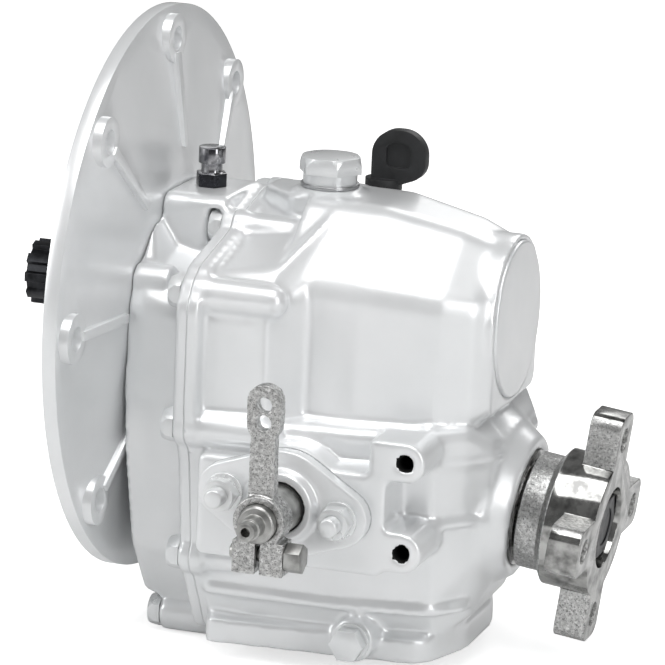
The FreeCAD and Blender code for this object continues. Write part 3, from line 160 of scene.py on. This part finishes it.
def zincForging(name):
    # drop-forged steel under bright zinc: mottled, with dark speckle left in the pits of the scale
    material, shader, (patches, pits, scale) = newMaterial(
        name, {"Metallic": 1.0}, ((1.5, 5), (0.6, 3), (0.8, 4)))
    tone = addNode(material, "ValToRGB", {"Fac": patches},
                   [(0.3, "9b9b9a"), (0.5, "bdbdbc"), (0.7, "dcdcdb")])
    speckle = addNode(material, "ValToRGB", {"Fac": pits}, [(0.36, "454545"), (0.46, "ffffff")])
    mixed = addNode(material, "Mix", {0: 0.6, 6: tone.outputs["Color"], 7: speckle.outputs["Color"]},
                    data_type="RGBA", blend_type="MULTIPLY")
    rough = addNode(material, "ValToRGB", {"Fac": patches}, [(0.3, 0.42), (0.7, 0.27)])
    dress(material, shader, mixed.outputs[2], rough.outputs["Color"], scale, 0.2, 0.8)
    return material


def turnedSteel(name, light, dark, rough, axis=None, pitch=0.5):
    # lathe-turned steel: fine rings about the turning axis; its tone is partly darker tool passes, partly
    # painted reflections
    material, shader, (stainAndReflection,) = newMaterial(name, {"Metallic": 1.0}, ((6, 4),))
    coordinates = addNode(material, "TexCoord").outputs["Object"]
    if axis:
        centre, direction = axis
        turn = direction.rotation_difference(Vector((0, 0, 1))).to_euler()
        moved = turn.to_matrix() @ (-centre)
        coordinates = addNode(material, "Mapping", {"Vector": coordinates, "Location": moved,
                                                    "Rotation": turn}).outputs["Vector"]
    ringScale = 0.314 / (pitch * millimetre)  # one ring for each pitch in mm
    rings = addNode(material, "TexWave", {"Vector": coordinates, "Scale": ringScale, "Distortion": 0.6,
                                          "Detail": 2.0},
                    wave_type="RINGS", rings_direction="Z" if axis else "SPHERICAL").outputs["Fac"]
    # this tone ramp paints dark and bright reflection patches into the colour, over the tool's darker
    # passes
    tone = addNode(material, "ValToRGB", {"Fac": stainAndReflection}, [(0.32, dark), (0.62, light)])
    gloss = addNode(material, "ValToRGB", {"Fac": rings}, [(0.0, rough - 0.04), (1.0, rough + 0.08)])
    dress(material, shader, tone.outputs["Color"], gloss.outputs["Color"], rings, 0.01, 0.35)
    return material


def oiledSteel(name, colour, rough):
    # black-oxide steel, wiped with oil: near black, with lighter patches where the film is thin
    material, shader, (film, grain) = newMaterial(name, {"Metallic": 0.85}, ((4, 5), (0.6, 3)))
    tone = addNode(material, "ValToRGB", {"Fac": film}, [(0.3, colour), (0.75, "3a3b3e")])
    gloss = addNode(material, "ValToRGB", {"Fac": film}, [(0.3, rough), (0.7, rough + 0.15)])
    dress(material, shader, tone.outputs["Color"], gloss.outputs["Color"], grain, 0.02, 0.4)
    return material


def plainFinish(name, light, dark, rough, metallic=0.0, grit=0.8, depth=0.02):
    # moulded, cast or sheet stock with a slight variation of tone and a fine grain
    material, shader, (patches, grain) = newMaterial(name, {"Metallic": metallic}, ((7, 4), (grit, 3)))
    tone = addNode(material, "ValToRGB", {"Fac": patches}, [(0.3, dark), (0.7, light)])
    gloss = addNode(material, "ValToRGB", {"Fac": patches}, [(0.3, rough), (0.7, min(rough + 0.12, 1))])
    dress(material, shader, tone.outputs["Color"], gloss.outputs["Color"], grain, depth, 0.5)
    return material


outputTurning = (outputCentre, outputAxis)
paint = glossPaintedCasting("glossPaintedCastAluminium", "dfe1e2", "e8e9ea", 0.33)
fastenerPaint = glossPaintedCasting("glossPaintedFasteners", "dcdedf", "e8e9e9", 0.3)
forging = zincForging("zincPlatedForging")
machined = turnedSteel("turnedCouplingSteel", "b9b9b7", "6d6d6c", 0.14, outputTurning, 0.7)  # near mirror
bright = turnedSteel("groundBearingSteel", "c4c4c2", "96969a", 0.2)  # bright and even
gearSteel = turnedSteel("hardenedGearSteel", "8f8e8a", "5f5e5c", 0.3)  # greyer, from the furnace
zincTurned = turnedSteel("zincPlatedTurnedSteel", "b4b4b2", "8c8c8a", 0.36)  # soft grey sheen
chrome = turnedSteel("chromedBreatherCap", "a8a8aa", "55555a", 0.12)  # sharp reflections
blackSteel = oiledSteel("blackOxideSteel", "17181a", 0.3)
breatherSteel = oiledSteel("darkBreatherSteel", "34353a", 0.22)
bronze = plainFinish("sinteredBronze", "b98a4e", "8c6434", 0.34, 1.0, 0.5)  # brown gold, fine pores
rubber = plainFinish("nitrileRubber", "1c1c1d", "121213", 0.55)  # matt black
gasketSheet = plainFinish("paintedOverGasket", "b9bbbc", "a4a6a8", 0.6, 0, 0.5, 0.05)  # duller than paint
aluminium = plainFinish("stampedAluminium", "c9cacb", "a7a8aa", 0.3, 1.0)  # soft pale metal
blackPlastic = plainFinish("glassFilledNylon", "202123", "141516", 0.48, 0, 0.5, 0.05)  # dull moulded black
# painted shade: a near-black colour for the insides of the tapped holes
paintedHoleShade = plainFinish("tappedHolePaintedShade", "141414", "0a0a0a", 0.6, 0.4, 0.6, 0.08)  # dark, in shade
print("materials made")


# pieces made from the merged copy of a CAD node

def mergedCopy(name, node):
    mesh = nodes[node].data.copy()
    mesh.name = name
    mesh.materials.clear()
    bm = bmesh.new()
    bm.from_mesh(mesh)
    bmesh.ops.remove_doubles(bm, verts=bm.verts, dist=0.002 * millimetre)
    return mesh, bm


def showPiece(name, mesh, node, materials):
    piece = bpy.data.objects.new(name, mesh)
    scene.collection.objects.link(piece)
    for material in materials:
        mesh.materials.append(material)
    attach(piece, nodes[node]["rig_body"])
    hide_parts(node)
    return piece


def roundedEdges(name, node, materials, width):
    # machined or moulded piece: flat faces joined up, then every edge over 30 degrees broken
    mesh, bm = mergedCopy(name, node)
    bmesh.ops.dissolve_limit(bm, angle_limit=math.radians(1.0), verts=bm.verts, edges=bm.edges)
    sharp = [edge for edge in bm.edges if len(edge.link_faces) == 2
             and edge.calc_face_angle(0) > math.radians(30)]
    bmesh.ops.bevel(bm, geom=sharp, offset=width * millimetre, offset_type="OFFSET", segments=2,
                    profile=0.5, affect="EDGES", clamp_overlap=True, material=-1)
    for face in bm.faces:
        face.smooth = True
    bm.to_mesh(mesh)
    bm.free()
    mesh.set_sharp_from_angle(angle=smoothBelow)
    return showPiece(name, mesh, node, materials)


def joinNodes(name, parts):
    # one working bmesh from the merged copies of several CAD nodes
    joined = bmesh.new()
    for node in parts:
        mesh, bm = mergedCopy(name, node)
        bm.to_mesh(mesh)
        bm.free()
        joined.from_mesh(mesh)
        bpy.data.meshes.remove(mesh)
    return joined


def triangleCount(piece):
    bpy.context.view_layer.update()
    evaluated = piece.evaluated_get(bpy.context.evaluated_depsgraph_get())
    return sum(len(polygon.vertices) - 2 for polygon in evaluated.data.polygons)


def moulded(name, bm, voxel=0, rounds=0, faceLimit=None):
    # a fine remesh, smoothed so that every corner gets the fillet that a mould leaves
    mesh = bpy.data.meshes.new(name + "_work")
    bm.to_mesh(mesh)
    bm.free()
    piece = bpy.data.objects.new(name + "_work", mesh)
    scene.collection.objects.link(piece)
    if voxel:
        remesh = piece.modifiers.new("remesh", "REMESH")
        remesh.mode = "VOXEL"
        remesh.voxel_size = voxel * millimetre
    if rounds:
        smooth = piece.modifiers.new("fillets", "SMOOTH")
        smooth.factor = 0.5
        smooth.iterations = rounds
    count = triangleCount(piece)
    if faceLimit and count > faceLimit:
        thin = piece.modifiers.new("thin", "DECIMATE")
        thin.ratio = faceLimit / count
    skin = bpy.data.meshes.new_from_object(piece.evaluated_get(bpy.context.evaluated_depsgraph_get()))
    bpy.data.objects.remove(piece)
    skin.name = name
    for polygon in skin.polygons:
        polygon.use_smooth = True
    print(name, count, "triangles before thinning")
    return skin


def block(bm, low, high):
    # plain filling block between two corners, mm
    size = [(b - a) * millimetre for a, b in zip(low, high)]
    middle = [(a + b) / 2 * millimetre for a, b in zip(low, high)]
    bmesh.ops.create_cube(bm, size=1, matrix=Matrix.Translation(middle) @ Matrix.Diagonal((*size, 1)))


def capsule(bm, start, direction, length, radius, endRadius):
    # tapering round boss with a ball end
    turn = Vector((0, 0, 1)).rotation_difference(direction).to_matrix().to_4x4()
    bmesh.ops.create_cone(bm, cap_ends=True, segments=28, radius1=radius, radius2=endRadius, depth=length,
                          matrix=Matrix.Translation(start + direction * length / 2) @ turn)
    bmesh.ops.create_uvsphere(bm, u_segments=28, v_segments=16, radius=endRadius,
                              matrix=Matrix.Translation(start + direction * length))


def split(skin, station, keepAft):
    # half of a skin, cut square at a station along X and closed there
    bm = bmesh.new()
    bm.from_mesh(skin)
    cut = bmesh.ops.bisect_plane(bm, geom=bm.verts[:] + bm.edges[:] + bm.faces[:],
                                 plane_co=(station, 0, 0), plane_no=(1, 0, 0),
                                 clear_inner=keepAft, clear_outer=not keepAft)
    rim = [edge for edge in cut["geom_cut"] if isinstance(edge, bmesh.types.BMEdge)]
    bmesh.ops.triangle_fill(bm, use_beauty=True, use_dissolve=False, edges=rim)
    return bm


# the two halves of the case are moulded as one so that the joint line stays fine, then cut apart
case = {
    "joint": 0.0465,  # station of the joint, m
    "gap": 0.06,  # from the joint to each half, mm
    "voxel": 1.3, "rounds": 9, "triangles": 190000,
    "bosses": (
        # screw bosses behind the joint: across, height, reach, radius, mm
        (-20, 33.5, 31, 7.4), (-67, 15, 33, 7.6), (-70.5, -41, 33, 7.6), (70.5, -41, 33, 7.6),
        (68, 14, 33, 7.6), (36, 36.5, 31, 7.2),
    ),
    "bossTaper": 0.6,
    "wall": ((26, -24, 22), (34.6, -9, 44)),  # in front of the upper screw head, beside the breather
}
cableHole = {"radius": 3.9, "mouth": -0.0794, "bottom": -0.05}  # mm, then stations along Y in m
cableHoles = [Vector(mount["pos_m"]) for mount in frame["record"]["mounts"]
              if "cable_thread" in mount["name"]]
caseWork = joinNodes("case", ("main_housing", "housing_gasket", "front_housing"))
for across, height, reach, radius in case["bosses"]:
    capsule(caseWork, Vector((case["joint"], across * millimetre, height * millimetre)), Vector((1, 0, 0)),
            reach * millimetre, radius * millimetre, (radius - case["bossTaper"]) * millimetre)
block(caseWork, *case["wall"])
caseSkin = moulded("case", caseWork, case["voxel"], case["rounds"])
for pieceName, node, keepAft in (("mainHousingCasting", "main_housing", True),
                                 ("frontHousingCasting", "front_housing", False)):
    gap = (case["gap"] if keepAft else -case["gap"]) * millimetre
    half = moulded(pieceName, split(caseSkin, case["joint"] + gap, keepAft), faceLimit=case["triangles"])
    piece = showPiece(pieceName, half, node, [paint, paintedHoleShade])
    # the walls inside the cable-thread holes take the near-black painted shade
    for polygon in piece.data.polygons:
        spot = polygon.center
        inHole = any(math.hypot(spot.x - hole.x, spot.z - hole.z) < cableHole["radius"] * millimetre
                     for hole in cableHoles)
        inside = inHole and cableHole["mouth"] < spot.y < cableHole["bottom"]
        polygon.material_index = 1 if inside else 0

cover = {"voxel": 0.7, "rounds": 4, "triangles": 60000}
coverSkin = moulded("shiftCoverCasting", joinNodes("shiftCoverCasting", ["shift_cover"]),
                    cover["voxel"], cover["rounds"], cover["triangles"])
showPiece("shiftCoverCasting", coverSkin, "shift_cover", [paint])
print("castings skinned")

bevelledPieces = {
    # piece: node, material, broken edge in mm
    "adapterCasting": ("adapter_flange", paint, 0.7),
    "adapterScrews": ("adapter_bolts", blackSteel, 0.3),
    "housingScrews": ("housing_bolts", fastenerPaint, 0.45),
    "coverStuds": ("shift_cover_studs", fastenerPaint, 0.9),
    "coverWashers": ("shift_cover_washers", fastenerPaint, 0.3),
    "coverNuts": ("shift_cover_nuts", fastenerPaint, 0.5),
    "drainPlug": ("drain_plug", fastenerPaint, 0.5),
    "drainSealingRing": ("drain_washer", fastenerPaint, 0.25),
    "fillerPlug": ("filler_plug", fastenerPaint, 0.6),
    "fillerSealingRing": ("filler_washer", aluminium, 0.25),
    "couplingNut": ("coupling_nut", blackSteel, 0.5),
    "couplingWasher": ("coupling_washer", bright, 0.2),
    "clampScrew": ("lever_clamp_bolt", zincTurned, 0.4),
    "rearCap": ("rear_cap", paint, 0.5),
    "dipstickHandle": ("dipstick", blackPlastic, 0.6),
    "splinedInputShaft": ("input_shaft", blackSteel, 0.25),
    "shiftShaft": ("shift_shaft", zincTurned, 0.3),
}
for pieceName, (node, material, width) in bevelledPieces.items():
    roundedEdges(pieceName, node, [material], width)
print("adapter, fasteners and turned pieces made")

leverForging = {
    "voxel": 0.45, "rounds": 4, "triangles": 120000,
    "coarse": 1.6, "fine": 0.7,  # width of the lumps in the forging scale, mm
    "sunk": 0.6, "depth": 0.16,  # how much of the scale lies below the CAD face, and its depth in mm
}
lever = moulded("forgedLever", joinNodes("forgedLever", ["shift_lever"]),
                leverForging["voxel"], leverForging["rounds"], leverForging["triangles"])
for vertex in lever.vertices:
    lift = (noise.noise(vertex.co / (leverForging["coarse"] * millimetre))
            + 0.5 * noise.noise(vertex.co / (leverForging["fine"] * millimetre)))
    vertex.co += vertex.normal * (lift - leverForging["sunk"]) * leverForging["depth"] * millimetre
showPiece("forgedLever", lever, "shift_lever", [forging])

# turned collar between the lever's hub and the cover, mm
collar = {"radius": 10.2, "from": -87.4, "to": -104.2, "edge": 0.6}
shaftPlace = Vector(joints["shift_lever"]["pos_m"])
collarMiddle = (shaftPlace.x, (collar["from"] + collar["to"]) / 2 * millimetre, shaftPlace.z)
bm = bmesh.new()
bmesh.ops.create_cone(bm, cap_ends=True, segments=96, radius1=collar["radius"] * millimetre,
                      radius2=collar["radius"] * millimetre,
                      depth=(collar["from"] - collar["to"]) * millimetre,
                      matrix=Matrix.Translation(collarMiddle) @ Matrix.Rotation(math.pi / 2, 4, "X"))
rims = [edge for edge in bm.edges if edge.calc_face_angle(0) > 1]
bmesh.ops.bevel(bm, geom=rims, offset=collar["edge"] * millimetre, segments=3, profile=0.5,
                affect="EDGES", material=-1)
collarMesh = bpy.data.meshes.new("shiftShaftCollar")
bm.to_mesh(collarMesh)
bm.free()
collarMesh.shade_smooth()
collarMesh.set_sharp_from_angle(angle=smoothBelow)
collarMesh.materials.append(zincTurned)
collarPiece = bpy.data.objects.new("shiftShaftCollar", collarMesh)
scene.collection.objects.link(collarPiece)
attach(collarPiece, "lever")
print("lever and collar made")


# breather: dark hexagon under a bright chromed cap
capHeight = 11.5 * millimetre
breather = roundedEdges("breatherScrew", "breather_screw", [breatherSteel, chrome], 0.35)
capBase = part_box("breather_screw")[1].z - capHeight
for polygon in breather.data.polygons:
    polygon.material_index = 1 if polygon.center.z > capBase else 0


# coupling: forged ears and neck, turned band and face. Stations along the shaft and radii in m
turned = {"bandFrom": 0.0965, "bandRadius": 0.031, "faceFrom": 0.105, "earEndFrom": 0.046}
coupling = roundedEdges("flangedCoupling", "output_coupling", [forging, machined], 0.5)
for polygon in coupling.data.polygons:
    offset = polygon.center - outputCentre
    station = offset.dot(outputAxis)
    outward = offset - outputAxis * station
    faced = abs(polygon.normal.dot(outputAxis)) > 0.9 and station > turned["faceFrom"]
    earEnd = outward.length > turned["earEndFrom"] and polygon.normal.dot(outward.normalized()) > 0.8
    band = station > turned["bandFrom"] and outward.length < turned["bandRadius"]
    polygon.material_index = 1 if faced or earEnd or band else 0
print("breather and coupling made")


# every other CAD node keeps its mesh and gets its own finish
innerFinishes = {
    "housing_gasket": gasketSheet, "shift_cover_gasket": gasketSheet,
    "input_oil_seal": rubber, "output_oil_seal": machined, "shift_shaft_seal": rubber,
    "forward_gear": gearSteel, "reverse_gear": gearSteel, "idler_gear": gearSteel,
    "clutch_sleeve": gearSteel,
    "forward_gear_bush": bronze, "reverse_gear_bush": bronze, "shift_shoe": bronze,
    "output_shaft": blackSteel,
}
for node, item in nodes.items():
    item.data.materials.clear()
    item.data.materials.append(innerFinishes.get(node, bright))
print("inner nodes finished")


# studio: pale floor, white background, soft lamps
studio = {
    "floorDrop": 0.4 * millimetre, "floorSize": 12.0, "floorColour": "f2f2f2", "floorRough": 0.9,
    "floorGlow": 0.62,  # seen by the camera only
    "fill": 0.24, "shine": 0.2,  # grey of the world for light, and for reflections
    "lamps": (
        # name, place, width and height, power in watts
        ("overheadSoftbox", (0.15, -0.5, 1.45), (1.1, 1.1), 17.0),
        ("leftStripBox", (-1.25, -1.2, 0.75), (0.45, 1.3), 11.0),
        ("rightStripBox", (1.45, -0.95, 0.55), (0.4, 1.2), 8.0),
        ("backSoftbox", (0.3, 1.5, 1.0), (1.1, 0.8), 7.0),
    ),
}
lowest = cadBox[0].z - studio["floorDrop"]
bm = bmesh.new()
bmesh.ops.create_grid(bm, x_segments=1, y_segments=1, size=studio["floorSize"] / 2,
                      matrix=Matrix.Translation((0, 0, lowest)))
floorMesh = bpy.data.meshes.new("studioFloor")
bm.to_mesh(floorMesh)
bm.free()
floor = bpy.data.objects.new("studioFloor", floorMesh)
scene.collection.objects.link(floor)
floorPaint, shader = newMaterial("mattWhiteFloor", {"Base Color": hexColour(studio["floorColour"]),
                                                    "Roughness": studio["floorRough"]})[:2]
path = addNode(floorPaint, "LightPath")
glow = addNode(floorPaint, "Emission", {"Color": (1, 1, 1, 1), "Strength": studio["floorGlow"]})
lit = addNode(floorPaint, "AddShader", {0: shader.outputs[0], 1: glow.outputs[0]})
mixed = addNode(floorPaint, "MixShader", {0: path.outputs["Is Camera Ray"], 1: shader.outputs[0],
                                          2: lit.outputs[0]})
surface = floorPaint.node_tree.nodes["Material Output"].inputs["Surface"]
floorPaint.node_tree.links.new(mixed.outputs[0], surface)
floorMesh.materials.append(floorPaint)

world = bpy.data.worlds.new("studioWorld")
scene.world = world
world.use_nodes = True
path = addNode(world, "LightPath")
fill = addNode(world, "Mix", {0: path.outputs["Is Glossy Ray"], 6: (studio["fill"],) * 3 + (1,),
                              7: (studio["shine"],) * 3 + (1,)}, data_type="RGBA")
white = addNode(world, "Mix", {0: path.outputs["Is Camera Ray"], 6: fill.outputs[2], 7: (1, 1, 1, 1)},
                data_type="RGBA")
background = world.node_tree.nodes["Background"]
world.node_tree.links.new(white.outputs[2], background.inputs["Color"])

middle = (cadBox[0] + cadBox[1]) / 2
for name, place, size, power in studio["lamps"]:
    lampData = bpy.data.lights.new(name, "AREA")
    lampData.shape = "RECTANGLE"
    lampData.size, lampData.size_y = size
    lampData.energy = power
    lamp = bpy.data.objects.new(name, lampData)
    scene.collection.objects.link(lamp)
    lamp.location = place
    lamp.rotation_euler = (middle - Vector(place)).to_track_quat("-Z", "Y").to_euler()
print("studio set")


# camera at the photograph's angle
view = {
    "azimuth": 17.9, "elevation": 13.74, "roll": 2.38, "place": (0.6415, -1.7250, 0.4311),
    "lens": 237.1, "sensor": 36, "reach": 50,
}
azimuth, elevation = math.radians(view["azimuth"]), math.radians(view["elevation"])
back = Vector((math.sin(azimuth) * math.cos(elevation), -math.cos(azimuth) * math.cos(elevation),
               math.sin(elevation)))
cameraData = bpy.data.cameras.new("camera")
cameraData.lens = view["lens"]
cameraData.sensor_width = view["sensor"]
cameraData.clip_end = view["reach"]
camera = bpy.data.objects.new("camera", cameraData)
scene.collection.objects.link(camera)
facing = back.to_track_quat("Z", "Y").to_matrix().to_4x4()
camera.matrix_world = (Matrix.Translation(view["place"]) @ facing
                       @ Matrix.Rotation(math.radians(view["roll"]), 4, "Z"))
scene.camera = camera
scene.view_settings.view_transform = "Standard"

print("scene built")
